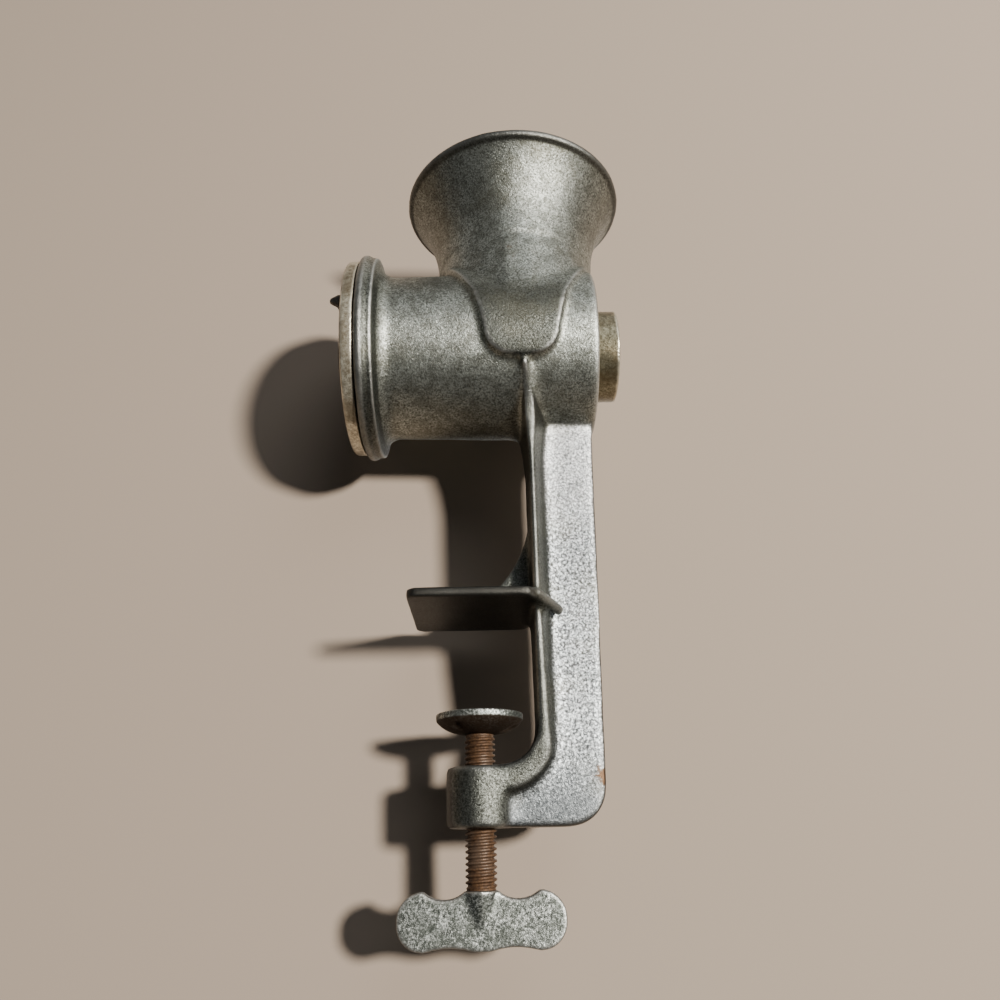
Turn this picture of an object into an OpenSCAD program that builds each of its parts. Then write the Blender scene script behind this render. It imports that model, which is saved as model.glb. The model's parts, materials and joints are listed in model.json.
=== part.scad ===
// Clamp-on hand grinder: one iron casting, a feed screw with its cutter, and a table clamp.
// Frame: the origin is on the clamp screw's axis, on the underside of the shelf that sits on
// the table top. +Z is up along the hopper, the barrel lies along X, and the crank end is +X.

/* [Barrel] */
// Outer radius of the barrel behind the flange
barrel_r = 28.7; // [27:0.1:32]
// Outer radius of the barrel at the rear bearing
barrel_rear_r = 30; // [28.5:0.1:33]
// Wall of the barrel
barrel_wall = 4.2; // [3:0.1:5.5]
// Length of the barrel, from the flange's front face to the rear face
barrel_len = 79.9; // [74:0.1:90]
// How far the flange's front face stands in front of the clamp screw
barrel_reach = 38.7; // [34:0.2:44]
// Height of the barrel's axis above the table top
barrel_height = 94.5; // [85:0.5:115]
// Thickness of the rear wall that carries the feed screw
rear_wall = 9.7; // [7:0.1:12]
// Radius of the barrel's rear edge
rear_edge = 1.4; // [0.5:0.1:3]

/* [Front flange] */
// Radius over the bead
bead_r = 36.3; // [35.6:0.1:40]
// Width of the bead
bead_w = 3.7; // [3:0.1:6]
// Radius of the collar behind the bead
collar_r = 35.3; // [34:0.1:36]
// Width of that collar
collar_w = 2.3; // [1:0.1:3]
// Radius of the hollow fillet from the collar to the barrel
flare_r = 5.2; // [2:0.1:6]

/* [Hopper] */
// Radius over the rim
rim_r = 40.6; // [38:0.2:46]
// Height of the rim above the barrel's axis
hopper_h = 68.2; // [62:0.2:80]
// Radius of the neck
neck_r = 28.5; // [27:0.1:31]
// Height above the barrel's axis where the bell of the hopper starts
bell_z = 34; // [32:0.2:40]
// Wall of the hopper
hopper_wall = 3.6; // [2.5:0.1:5]
// Radius of the rolled lip
lip_r = 1.7; // [1:0.1:2.5]
// How far the hopper's axis lies behind the flange's front face
hopper_setback = 54; // [50:0.2:58]
// Radius of the throat where it opens into the barrel
throat_r = 12.5; // [9:0.5:14]
// Height of that place above the barrel's axis
throat_z = 10; // [6:0.5:16]

/* [Saddle under the hopper] */
// Half width of the saddle at the barrel's axis
saddle_w = 13.9; // [13:0.1:16]
// Half width of the saddle's tongue where its corners start
tongue_w = 12.6; // [11:0.1:13]
// How far the tongue reaches below the barrel's axis
tongue_drop = 15.3; // [14:0.1:18]
// Corner radius of the tongue
tongue_corner = 8.5; // [6:0.1:10]
// How far the saddle stands proud of the barrel
saddle_t = 2.8; // [1.5:0.1:3.5]
// Half width of the saddle where it starts to spread
saddle_spread_w = 16; // [14:0.2:20]
// Height above the barrel's axis where it starts to spread
saddle_spread_z = 8; // [4:0.5:14]

/* [Column] */
// Distance from the clamp screw to the column's front face
throat_depth = 16.9; // [15:0.1:24]
// Thickness of the column's front flange at its root
column_t = 5.5; // [4:0.1:7]
// Thickness of that flange at its edges
crest_t = 2; // [1.5:0.1:3]
// How far that flange leans forward where it ends in the barrel
column_lean = 2; // [0:0.1:3]
// Half width of that flange just above the shelf
column_half_w = 13.6; // [11:0.2:17]
// Half width of that flange at the foot
column_foot_half_w = 8.6; // [7:0.2:10]
// Radius of the flare that spreads the flange into the barrel's sides
column_flare_r = 30; // [26:0.5:34]
// Angle at which the flange's rear face leans back along the flare
column_flare_tilt = 7; // [4:0.5:10]
// How far below the barrel's axis that flare starts
column_flare_drop = 42.5; // [40:0.2:46]
// How far below the barrel's axis the flange ends in the barrel's sides
column_top_drop = 14.4; // [12:0.2:16]
// Thickness of the web behind the flange
web_t = 10; // [7:0.2:14]
// Depth of the web behind the clamp screw at its lower end
web_foot_x = 36.6; // [32:0.2:40]
// How far the web stays in front of the barrel's rear face
web_inset = 0.7; // [0.2:0.1:3]

/* [Shelf] */
// Width of the shelf
shelf_w = 44; // [34:0.5:52]
// Thickness of the shelf
shelf_t = 3.2; // [2.5:0.1:5]
// How far the shelf reaches in front of the clamp screw
shelf_reach = 21.3; // [16:0.2:26]
// Corner radius at the shelf's front
shelf_corner = 3.5; // [2:0.5:10]
// Corner radius where the shelf wraps round the column
shelf_rear_corner = 3; // [1:0.5:5]
// How far behind the column's face the round tails end that lead the shelf's rear corners into the web
shelf_tail = 8.3; // [7:0.1:10]
// How far the middle of a tail's end stands out of the web
tail_proud = 2.6; // [1:0.1:4]
// Radius of the tails
tail_r = 1.9; // [1.5:0.1:2.2]
// How far the tails sink on their way
tail_drop = 3.3; // [1:0.1:5]
// Length of the gusset along the shelf
gusset_len = 16.5; // [10:0.5:22]
// Height of the gusset up the column
gusset_h = 28; // [18:0.5:36]
// Thickness of the gusset
gusset_t = 5; // [3:0.2:7]
// Radius of the gusset's hollow edge
gusset_r = 40; // [25:1:80]

/* [Foot] */
// Clear height of the clamp, from the table top's face to the foot
jaw_h = 45.9; // [38:0.2:60]
// Height of the foot and its screw boss
foot_h = 17.1; // [13:0.1:22]
// Radius of the screw boss
boss_r = 10.1; // [9:0.1:12]
// Thickness of the flange along the foot
foot_flange_t = 7.6; // [5:0.1:10]
// Inner corner radius between column and foot
inner_corner = 11; // [6:0.5:14]
// Outer corner radius at the heel
outer_corner = 11; // [6:0.5:15]

/* [Clamp screw] */
// Radius over the thread
screw_r = 4.5; // [4:0.05:5.2]
// Gap between the table top's face and the pad, as the clamp is set
clamp_gap = 30.9; // [18:0.1:36]
// Gap between the foot's underside and the wing, as the clamp is set
wing_gap = 16; // [4:0.1:30]
// Radius of the screw's tip inside the pad
tip_r = 3; // [2.2:0.1:3.6]
// Radius of the tip's spread head
head_r = 4.6; // [4:0.1:5.5]
// Thickness of that head
head_t = 1.3; // [0.8:0.1:2]

/* [Clamp pad] */
// Radius of the pad
pad_r = 13.1; // [11:0.1:16]
// Thickness of the pad's wall and rim
pad_t = 1.8; // [1.2:0.1:2.5]
// How far the bowl's foot lies below its rim
hub_drop = 3.9; // [3:0.1:5]
// Radius of the bowl's flat foot
hub_foot_r = 5; // [4.6:0.1:6]
// Radius that the bowl's round side bulges towards
belly_r = 10.6; // [9.5:0.1:11.5]
// Height above the foot that the bowl's round side bulges towards
belly_h = 0.6; // [0.2:0.1:1.2]
// Width of the pad's flat rim
pad_rim = 1.3; // [0.8:0.1:1.8]

/* [Clamp wing] */
// Half span of the wing
wing_half = 23.6; // [18:0.2:30]
// Height of the wing
wing_h = 15; // [12:0.2:20]
// Thickness of the wing
wing_t = 5; // [3.5:0.1:6.5]
// Radius of the wing's lobes
lobe_r = 7.2; // [5.5:0.1:9]
// Depth of the hollow between the hub and each lobe
valley = 2.2; // [1:0.1:3.5]
// Radius of that hollow
valley_r = 9; // [7:0.5:12]
// Depth of the shallow hollows along the wing's lower edge
wave = 0.9; // [0.4:0.1:1.4]
// Radius of those hollows
wave_r = 24; // [18:1:32]
// Distance from the axis to the middle of each
wave_x = 9.1; // [8:0.1:10.5]
// Length of the spike that tapers from the hub into the wing's faces
spike_h = 10.3; // [7:0.1:12]
// Radius of that spike at its top
spike_r = 4.9; // [4.6:0.1:5.5]
// Radius of the screw's tang inside the wing
tang_r = 1.9; // [1.4:0.1:2.2]
// Length of that tang
tang_h = 4; // [3:0.1:5]

/* [Feed screw] */
// Radius of the rear journal
journal_r = 16.2; // [14:0.1:19]
// How far the journal stands out behind the barrel
journal_out = 8.8; // [6:0.1:14]
// Core radius at the rear
core_rear_r = 9; // [7:0.2:12]
// Core radius at the front
core_front_r = 13; // [10:0.2:16]
// Lead of the flight
flight_lead = 25; // [18:0.5:32]
// Angle that the flight's section takes up
flight_angle = 46; // [30:1:70]
// Thickness of the shoulder that runs against the rear wall
shoulder_t = 3; // [2:0.1:5]
// Radius of that shoulder
shoulder_r = 22.6; // [21.5:0.1:23.4]
// Side of the square that drives the cutter
square_w = 12.7; // [10:0.1:14]
// Width of the slot that the crank drives
crank_slot_w = 10; // [8:0.2:13]
// Length of that slot across the journal's end
crank_slot_l = 22; // [16:0.5:25]
// Depth of that slot
crank_slot_d = 4; // [3:0.1:5.5]
// Radius of the hole for the crank's screw
crank_hole_r = 3.97; // [3:0.01:4.8]
// Depth of that hole below the slot
crank_hole_d = 14; // [10:0.5:18]

/* [Cutter] */
// Radius of the cutter
cutter_r = 34.2; // [31:0.1:35]
// Thickness of the cutter
cutter_t = 4.4; // [3.5:0.1:6]
// Radius of the cutter's rounded edge
cutter_edge = 1.3; // [0.5:0.1:1.6]
// Width of the rim outside the slots
cutter_rim = 5.5; // [4:0.1:7]
// Radius of the hub inside the slots
cutter_hub_r = 13; // [11.5:0.1:15]
// Number of slots
cutter_slots = 8; // [6:1:12]
// Width of a slot at its inner end
slot_in_w = 4; // [3:0.1:5]
// Width of a slot at its outer end
slot_out_w = 10; // [7:0.1:11]
// Depth of the dish in the front face
dish_d = 0.8; // [0.3:0.1:1.5]

/* [Thumb nut] */
// Radius of the stud that the nut runs on
stud_r = 3.97; // [3:0.01:4.8]
// Length of the stud inside the feed screw
stud_in = 16; // [10:0.5:20]
// Radius of the nut's hub
nut_r = 8.6; // [7:0.1:11]
// Height of the nut's hub
nut_h = 4.6; // [3.5:0.1:6]
// Distance from the axis to the middle of each horn
horn_reach = 22.6; // [18:0.2:26]
// Radius of a horn at its root
horn_r = 2.3; // [1.8:0.1:3]
// Radius of a horn at its rounded tip
horn_tip_r = 1.4; // [0.8:0.1:1.8]
// How far the horns stand out in front of the cutter
horn_out = 6.2; // [5:0.1:12]
// Thickness of the arm that carries each horn
arm_t = 2.8; // [2:0.1:4]
// Angle of the horns above the level
horn_angle = 30; // [0:1:90]

/* [Fits] */
// Radial clearance of a running fit
running_gap = 0.05; // [0.02:0.01:0.1]
// Gap between faces that turn past each other
face_gap = 0.3; // [0.2:0.05:0.6]
// Clearance between the flight and the bore
flight_gap = 0.5; // [0.3:0.05:1]

/* [Hidden] */
$fn = 64;
eps = 0.01;
bowl_steps = 8;

tinned_iron = [0.52, 0.53, 0.49];
bare_iron = [0.60, 0.53, 0.40];
rusty_steel = [0.45, 0.25, 0.13];
zinc_plate = [0.66, 0.66, 0.62];
dark_steel = [0.25, 0.22, 0.20];

front_x = -barrel_reach;
rear_x = front_x + barrel_len;
hopper_x = front_x + hopper_setback;
bore_r = barrel_r - barrel_wall;
bore_end_x = rear_x - rear_wall;
flare_end = bead_w + collar_w + flare_r;

bell_rise = hopper_h - 2 * lip_r - bell_z;
bell_run = rim_r - lip_r - neck_r;
bell_r = (bell_rise * bell_rise + bell_run * bell_run) / (2 * bell_run);
saddle_steps = 6;
saddle_face_r = barrel_r + saddle_t;
neck_inset = 0.4;

column_back_x = throat_depth + column_t;
web_top_x = rear_x - web_inset;
foot_top = -jaw_h;
foot_bottom = foot_top - foot_h;
outer_bend = inner_corner + column_t;
flare_z = barrel_height - column_flare_drop;
flare_top = barrel_height - column_top_drop;
flare_inset = 2.2;
flare_half_w = barrel_r - flare_inset;
flange_draft = (column_t - crest_t) / (column_half_w - web_t / 2);
shelf_half = shelf_w / 2;
tail_back = 0.4;
tail_in = 4.6;
tail_lift = 0.1;

pad_top = -clamp_gap;
pad_floor = pad_top - pad_t - hub_drop;
pad_seat = pad_floor + pad_t;
screw_top = pad_floor - face_gap;
wing_top = foot_bottom - wing_gap;
wing_foot = wing_top - wing_h;
lobe_x = wing_half - lobe_r;
spike_sink = 0.1;

cutter_back_x = front_x - face_gap;
cutter_front_x = cutter_back_x - cutter_t;
dish_over = 1;
shoulder_back_x = bore_end_x - face_gap;
flight_back_x = shoulder_back_x - shoulder_t;
flight_front_x = front_x + flight_gap;
flight_len = flight_back_x - flight_front_x;
flight_r = bore_r - flight_gap;
core_front_x = front_x + flight_gap / 2;
core_len = shoulder_back_x - core_front_x;
flight_root_r = core_rear_r - 1;
flight_root_spread = 1.4;
flight_edge_steps = 6;
steps_per_turn = 20;
journal_end_x = rear_x + journal_out;

// A revolve about the barrel's axis: profile y runs along +X from x0
module about_barrel(x0) {
  translate([x0, 0, barrel_height]) rotate([0, 90, 0]) rotate_extrude() children();
}

// A shape in the XZ plane, spread to width w across Y
module across(w) {
  translate([0, w / 2, 0]) rotate([90, 0, 0]) linear_extrude(w) children();
}

// A round bar along X on the barrel's axis
module axle(x0, x1, r) {
  translate([x0, 0, barrel_height]) rotate([0, 90, 0]) cylinder(r = r, h = x1 - x0);
}

module flange_profile() {
  square([bead_r - bead_w / 2, bead_w]);
  translate([bead_r - bead_w / 2, bead_w / 2]) circle(bead_w / 2);
  square([collar_r, bead_w + collar_w]);
  difference() {
    square([min(collar_r, barrel_r + flare_r), flare_end]);
    translate([barrel_r + flare_r, flare_end]) circle(flare_r);
  }
}

module barrel_profile() {
  edge_x = barrel_len - rear_edge;
  polygon([[0, 0], [barrel_r, 0], [barrel_r, flare_end], [barrel_rear_r, edge_x],
           [barrel_rear_r - rear_edge, edge_x], [barrel_rear_r - rear_edge, barrel_len], [0, barrel_len]]);
  translate([barrel_rear_r - rear_edge, edge_x]) circle(rear_edge);
}

// Bore with the smaller bearing for the feed screw's journal behind it
module bore_profile() {
  bearing_r = journal_r + running_gap;
  polygon([[0, -eps], [bore_r, -eps], [bore_r, barrel_len - rear_wall], [bearing_r, barrel_len - rear_wall],
           [bearing_r, barrel_len + eps], [0, barrel_len + eps]]);
}

// Hopper from the barrel's axis up: neck, bell and rolled lip
module hopper_profile() {
  difference() {
    polygon([[0, 0], [saddle_w, 0], [saddle_spread_w, saddle_spread_z], [neck_r, bell_z],
             [rim_r - lip_r, bell_z], [rim_r - lip_r, hopper_h], [0, hopper_h]]);
    translate([neck_r + bell_r, bell_z]) circle(bell_r);
  }
  translate([rim_r - lip_r, hopper_h - lip_r]) circle(lip_r);
}

module hopper_hollow() {
  difference() {
    polygon([[0, throat_z], [throat_r, throat_z], [neck_r - hopper_wall, bell_z], [rim_r - lip_r, bell_z],
             [rim_r - lip_r, hopper_h + eps], [0, hopper_h + eps]]);
    translate([neck_r + bell_r, bell_z]) circle(bell_r + hopper_wall);
  }
}

// Side view of the saddle that leads the neck down to a round-cornered tongue on the barrel's sides
module saddle_outline() {
  corner = [tongue_w - tongue_corner, tongue_corner - tongue_drop];
  half = concat([[neck_r, bell_z], [saddle_spread_w, saddle_spread_z], [saddle_w, 0]],
                [for (i = [0:saddle_steps]) let (a = 90 * i / saddle_steps)
                   corner + tongue_corner * [cos(a), -sin(a)]]);
  for (side = [0, 1]) mirror([side, 0]) polygon(concat([[0, bell_z]], half, [[0, -tongue_drop]]));
}

// The saddle: a skin round the barrel, and the neck's front run down into it
module saddle() {
  intersection() {
    across(2 * rim_r) saddle_outline();
    union() {
      translate([-neck_r, 0, 0]) rotate([0, 90, 0]) cylinder(r = saddle_face_r, h = 2 * neck_r);
      cylinder(r1 = saddle_face_r, r2 = neck_r - neck_inset, h = bell_z);
    }
  }
}

// Side view of column and foot: everything behind the clamp's inner edge
module column_outline() {
  polygon([[0, foot_bottom], [web_foot_x - outer_corner, foot_bottom], [web_foot_x, foot_bottom + outer_corner],
           [web_top_x, barrel_height], [throat_depth - column_lean, barrel_height],
           [throat_depth - column_lean, flare_top], [throat_depth, flare_z], [throat_depth, foot_top],
           [0, foot_top]]);
  translate([throat_depth - inner_corner, foot_top - eps]) difference() {
    square(inner_corner + eps);
    translate([0, inner_corner + eps]) circle(inner_corner);
  }
  translate([web_foot_x - outer_corner, foot_bottom + outer_corner]) circle(outer_corner);
}

// Side view of what lies behind the front flange
module behind_flange() {
  bend_z = foot_top - foot_flange_t;
  polygon([[-boss_r, foot_bottom - eps], [-boss_r, bend_z], [column_back_x, bend_z],
           [column_back_x, barrel_height + eps], [rear_x + barrel_len, barrel_height + eps],
           [rear_x + barrel_len, foot_bottom - eps]]);
  difference() {
    translate([column_back_x - outer_bend, bend_z]) square(outer_bend);
    translate([column_back_x - outer_bend, bend_z + outer_bend]) circle(outer_bend);
  }
}

// Front view of the column's flange, widening to the shelf and flaring into the barrel
module flange_front() {
  polygon([[-column_foot_half_w, foot_bottom], [-column_foot_half_w, foot_top], [-column_half_w, 0],
           [-column_half_w, flare_z + eps], [column_half_w, flare_z + eps], [column_half_w, 0],
           [column_foot_half_w, foot_top], [column_foot_half_w, foot_bottom]]);
  difference() {
    translate([-flare_half_w, flare_z]) square([2 * flare_half_w, flare_top - flare_z]);
    for (side = [-1, 1])
      translate([side * (column_half_w + column_flare_r), flare_z]) circle(column_flare_r);
  }
}

// Plan of the flange: thin at its edges, thicker towards the web
module flange_plan() {
  edge_x = throat_depth + crest_t;
  thin_x = edge_x - flange_draft * (flare_half_w - column_half_w);
  polygon([[-boss_r, -flare_half_w], [thin_x, -flare_half_w], [column_back_x, -web_t / 2],
           [column_back_x, web_t / 2], [thin_x, flare_half_w], [-boss_r, flare_half_w]]);
}

// Side view of the flange's flare, from its leaning front back to the barrel's rear
module flare_outline() {
  polygon([[throat_depth, flare_z], [throat_depth - column_lean, flare_top], [web_top_x, flare_top],
           [web_top_x, flare_z]]);
}

// What lies behind the flare's slanting rear faces
module behind_flare() {
  for (side = [0, 1])
    mirror([0, side, 0]) translate([throat_depth + crest_t, column_half_w, flare_z])
      rotate([0, column_flare_tilt, atan(flange_draft)])
        translate([0, -barrel_len, -barrel_len]) cube(2 * barrel_len);
}

module column() {
  across(web_t) column_outline();
  intersection() {
    across(2 * barrel_r) difference() {
      column_outline();
      behind_flange();
    }
    rotate([90, 0, 90]) linear_extrude(rear_x) flange_front();
    translate([0, 0, foot_bottom]) linear_extrude(barrel_height - foot_bottom) flange_plan();
  }
  difference() {
    intersection() {
      across(2 * barrel_r) flare_outline();
      rotate([90, 0, 90]) linear_extrude(rear_x) flange_front();
    }
    behind_flare();
  }
}

// Point at t on a curve from a to b that is drawn towards c
function bend(a, c, b, t) = (1 - t) * (1 - t) * a + 2 * t * (1 - t) * c + t * t * b;

// Plan of the shelf, from its front to the column
module shelf_plan() {
  side_x = throat_depth - shelf_rear_corner;
  side_y = shelf_half - shelf_rear_corner;
  translate([-shelf_reach + shelf_corner, -shelf_half])
    square([shelf_reach - shelf_corner + side_x, shelf_w]);
  translate([-shelf_reach, shelf_corner - shelf_half]) square([2 * shelf_corner, shelf_w - 2 * shelf_corner]);
  for (side = [-1, 1]) {
    translate([-shelf_reach + shelf_corner, side * (shelf_half - shelf_corner)]) circle(shelf_corner);
    translate([side_x, side * side_y]) circle(shelf_rear_corner);
  }
  translate([side_x - eps, -side_y]) square([shelf_rear_corner + eps, 2 * side_y]);
}

// Round tails that lead the shelf's rear corners past the flange into the web
module shelf_tails() {
  start = [throat_depth + tail_back, shelf_half - tail_in, tail_r + tail_lift];
  end = [throat_depth + shelf_tail, web_t / 2 + tail_proud, start[2] - tail_drop];
  way = end - start;
  for (side = [0, 1]) mirror([0, side, 0]) {
    translate(start) rotate([0, acos(way[2] / norm(way)), atan2(way[1], way[0])])
      cylinder(r = tail_r, h = norm(way));
    translate(start) sphere(tail_r);
    translate(end) sphere(tail_r);
  }
}

// Side view of the rib between shelf and column, with its hollow edge
module gusset_outline() {
  foot = [throat_depth - gusset_len, shelf_t];
  top = [throat_depth, shelf_t + gusset_h];
  chord = norm(top - foot);
  along = (top - foot) / chord;
  hollow = sqrt(gusset_r * gusset_r - chord * chord / 4);
  difference() {
    polygon([foot - [0, eps], [throat_depth + eps, shelf_t - eps], top + [eps, 0]]);
    translate((foot + top) / 2 + hollow * [-along[1], along[0]]) circle(gusset_r);
  }
}

module grinder_body() {
  color(tinned_iron) difference() {
    union() {
      about_barrel(front_x) {
        flange_profile();
        barrel_profile();
      }
      translate([hopper_x, 0, barrel_height]) {
        rotate_extrude() hopper_profile();
        saddle();
      }
      column();
      linear_extrude(shelf_t) shelf_plan();
      shelf_tails();
      across(gusset_t) gusset_outline();
      translate([0, 0, foot_bottom]) cylinder(r = boss_r, h = foot_h);
    }
    about_barrel(front_x) bore_profile();
    translate([hopper_x, 0, barrel_height]) rotate_extrude() hopper_hollow();
    translate([0, 0, foot_bottom - eps]) cylinder(r = screw_r + running_gap, h = foot_h + 2 * eps);
  }
}

// Section of the flight, square to the axis
module flight_section() {
  edge = [for (i = [0:flight_edge_steps]) flight_angle * (i / flight_edge_steps - 1 / 2)];
  root = [for (i = [0:flight_edge_steps]) edge[flight_edge_steps - i] * flight_root_spread];
  polygon(concat([for (a = edge) flight_r * [cos(a), sin(a)]],
                 [for (a = root) flight_root_r * [cos(a), sin(a)]]));
}

module feed_screw() {
  flight_reach = flight_len + shoulder_t / 2;
  turns = flight_reach / flight_lead;
  color(bare_iron) difference() {
    union() {
      about_barrel(core_front_x)
        polygon([[0, 0], [core_front_r, 0], [core_rear_r, core_len], [0, core_len]]);
      translate([flight_front_x, 0, barrel_height]) rotate([0, 90, 0])
        linear_extrude(flight_reach, twist = 360 * turns, slices = ceil(turns * steps_per_turn), segments = 0)
          flight_section();
      axle(flight_back_x, shoulder_back_x, shoulder_r);
      axle(shoulder_back_x - eps, journal_end_x, journal_r);
      translate([cutter_front_x, -square_w / 2, barrel_height - square_w / 2])
        cube([flight_front_x - cutter_front_x, square_w, square_w]);
    }
    axle(cutter_front_x - eps, cutter_front_x + stud_in, stud_r);
    translate([journal_end_x - crank_slot_d, -crank_slot_w / 2, barrel_height - crank_slot_l / 2])
      cube([crank_slot_d + eps, crank_slot_w, crank_slot_l]);
    axle(journal_end_x - crank_slot_d - crank_hole_d, journal_end_x, crank_hole_r);
  }
}

module cutter_stud() {
  color(dark_steel) axle(cutter_front_x - nut_h, cutter_front_x + stud_in, stud_r);
}

module cutter_profile() {
  square([cutter_r - cutter_edge, cutter_t]);
  translate([0, cutter_edge]) square([cutter_r, cutter_t - cutter_edge]);
  translate([cutter_r - cutter_edge, cutter_edge]) circle(cutter_edge);
}

module cutter_slot() {
  polygon([[cutter_hub_r, -slot_in_w / 2], [cutter_r - cutter_rim, -slot_out_w / 2],
           [cutter_r - cutter_rim, slot_out_w / 2], [cutter_hub_r, slot_in_w / 2]]);
}

module cutter() {
  color(bare_iron) difference() {
    about_barrel(cutter_front_x) cutter_profile();
    translate([cutter_front_x - eps, 0, barrel_height]) rotate([0, 90, 0]) {
      for (i = [0:cutter_slots - 1])
        rotate(i * 360 / cutter_slots) linear_extrude(cutter_t + 2 * eps) cutter_slot();
      linear_extrude(dish_d + eps) difference() {
        circle(cutter_r - cutter_rim + dish_over);
        circle(cutter_hub_r - dish_over);
      }
      translate([-square_w / 2, -square_w / 2, 0]) cube([square_w, square_w, cutter_t + 2 * eps]);
    }
  }
}

module cutter_nut() {
  color(dark_steel) translate([cutter_front_x, 0, barrel_height]) rotate([0, -90, 0]) difference() {
    union() {
      cylinder(r = nut_r, h = nut_h);
      for (turn = [0, 180]) rotate(horn_angle - 90 + turn) {
        translate([0, -horn_r, face_gap]) cube([horn_reach, 2 * horn_r, arm_t]);
        translate([horn_reach, 0, face_gap]) cylinder(r = horn_r, h = arm_t);
        translate([horn_reach, 0, face_gap + arm_t - eps])
          cylinder(r1 = horn_r, r2 = horn_tip_r, h = horn_out - horn_tip_r - arm_t - face_gap + eps);
        translate([horn_reach, 0, horn_out - horn_tip_r]) sphere(horn_tip_r);
      }
    }
    translate([0, 0, -eps]) cylinder(r = stud_r, h = nut_h + 2 * eps);
  }
}

module clamp_screw() {
  color(rusty_steel) {
    translate([0, 0, wing_top]) cylinder(r = screw_r, h = screw_top - wing_top);
    translate([0, 0, wing_top - tang_h]) cylinder(r = tang_r, h = tang_h + eps);
    translate([0, 0, screw_top - eps]) cylinder(r = tip_r, h = pad_seat + face_gap - screw_top + 2 * eps);
    translate([0, 0, pad_seat + face_gap]) cylinder(r = head_r, h = head_t);
  }
}

// Front view of the wing: two lobes, hollows beside the hub and a shallow wave along the foot
module wing_outline() {
  difference() {
    union() {
      for (side = [-1, 1]) {
        translate([side * lobe_x, wing_top - lobe_r]) circle(lobe_r);
        translate([side * lobe_x, wing_foot + lobe_r]) circle(lobe_r);
      }
      translate([-lobe_x, wing_foot]) square([2 * lobe_x, wing_h]);
    }
    for (side = [-1, 1]) {
      translate([side * (lobe_x + screw_r) / 2, wing_top - valley + valley_r]) circle(valley_r);
      translate([side * wave_x, wing_foot + wave - wave_r]) circle(wave_r);
    }
  }
}

module clamp_wing() {
  color(zinc_plate) difference() {
    union() {
      across(wing_t) wing_outline();
      translate([0, 0, wing_top - spike_h])
        cylinder(r1 = wing_t / 2 - spike_sink, r2 = spike_r, h = spike_h);
    }
    translate([0, 0, wing_top - tang_h]) cylinder(r = tang_r, h = tang_h + eps);
  }
}

// Half section of the pad: a flat rim and a hub drawn down round the screw's tip
module pad_section() {
  belly = [belly_r, pad_floor + belly_h];
  seat_edge = [head_r + face_gap, pad_seat];
  outside = [for (i = [0:bowl_steps])
    bend([hub_foot_r, pad_floor], belly, [pad_r, pad_top - pad_t], i / bowl_steps)];
  inside = [for (i = [0:bowl_steps])
    bend([pad_r - pad_rim, pad_top], belly + [-pad_t / 2, pad_t], seat_edge, i / bowl_steps)];
  polygon(concat([[tip_r + running_gap, pad_floor]], outside, [[pad_r, pad_top]], inside,
                 [[tip_r + running_gap, pad_seat]]));
}

module clamp_pad() {
  color(zinc_plate) rotate_extrude() pad_section();
}

grinder_body();
feed_screw();
cutter_stud();
cutter();
cutter_nut();
clamp_screw();
clamp_wing();
clamp_pad();
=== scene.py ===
"""Looks of a clamp-on hand grinder: worn tinned casting, bare turned iron and a rusty clamp screw."""

import json
import math

import bpy
import numpy as np
from mathutils import Matrix, Vector, noise


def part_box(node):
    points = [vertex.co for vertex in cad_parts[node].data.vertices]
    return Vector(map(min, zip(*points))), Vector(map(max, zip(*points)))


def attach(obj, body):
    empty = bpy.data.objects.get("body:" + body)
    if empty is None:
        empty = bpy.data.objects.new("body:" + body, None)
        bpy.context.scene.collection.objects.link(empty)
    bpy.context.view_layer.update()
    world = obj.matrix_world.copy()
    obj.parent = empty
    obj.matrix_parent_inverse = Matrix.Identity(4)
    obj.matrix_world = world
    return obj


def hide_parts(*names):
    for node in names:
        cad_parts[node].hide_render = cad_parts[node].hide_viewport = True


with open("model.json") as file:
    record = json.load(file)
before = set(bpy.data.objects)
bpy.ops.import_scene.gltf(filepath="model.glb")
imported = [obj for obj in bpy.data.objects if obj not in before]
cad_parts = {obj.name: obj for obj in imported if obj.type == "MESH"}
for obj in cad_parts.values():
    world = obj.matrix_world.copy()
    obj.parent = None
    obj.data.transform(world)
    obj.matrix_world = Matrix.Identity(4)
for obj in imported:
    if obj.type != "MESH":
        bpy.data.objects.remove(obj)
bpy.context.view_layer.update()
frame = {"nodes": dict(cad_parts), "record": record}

MM = 0.001

# Places on the barrel and the clamp that the soft copies keep true
joint_places = {joint["name"]: joint.get("pos_m") for joint in frame["record"]["behaviour"]["joints"]}
BARREL_Z = joint_places["feed_spin"][2]
BORE_R = 24.5 * MM
BEARING_R = 16.25 * MM
JOURNAL_R = 16.2 * MM
REAR_FACE_X = 41.2 * MM
REAR_WALL = 9.7 * MM
SCREW_HOLE_R = 4.55 * MM
FOOT_BOSS_Z = -40 * MM

# Gaps that keep neighbours from showing through each other
SHOW_GAP = 0.1 * MM
JOURNAL_GAP = 0.5 * SHOW_GAP
SCREW_HOLE_GAP = 2 * SHOW_GAP
HEAD_GAP = 3 * SHOW_GAP

# Softening: the share of the way to its neighbours' mean that a point goes in a round, and the rounds
EASE = 0.5
FILLET_BATCH = 8
SETTLE_ROUNDS = 2
RELIEF_ROUNDS = 4
RELIEF_GAIN = 10


def new_piece(name, mesh):
    """An object in the scene that shows a mesh."""
    piece = bpy.data.objects.new(name, mesh)
    bpy.context.collection.objects.link(piece)
    return piece


def bake_modifiers(piece):
    """Turns a piece's modifiers into plain mesh."""
    graph = bpy.context.evaluated_depsgraph_get()
    mesh = bpy.data.meshes.new_from_object(piece.evaluated_get(graph))
    piece.modifiers.clear()
    piece.data = mesh


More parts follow.
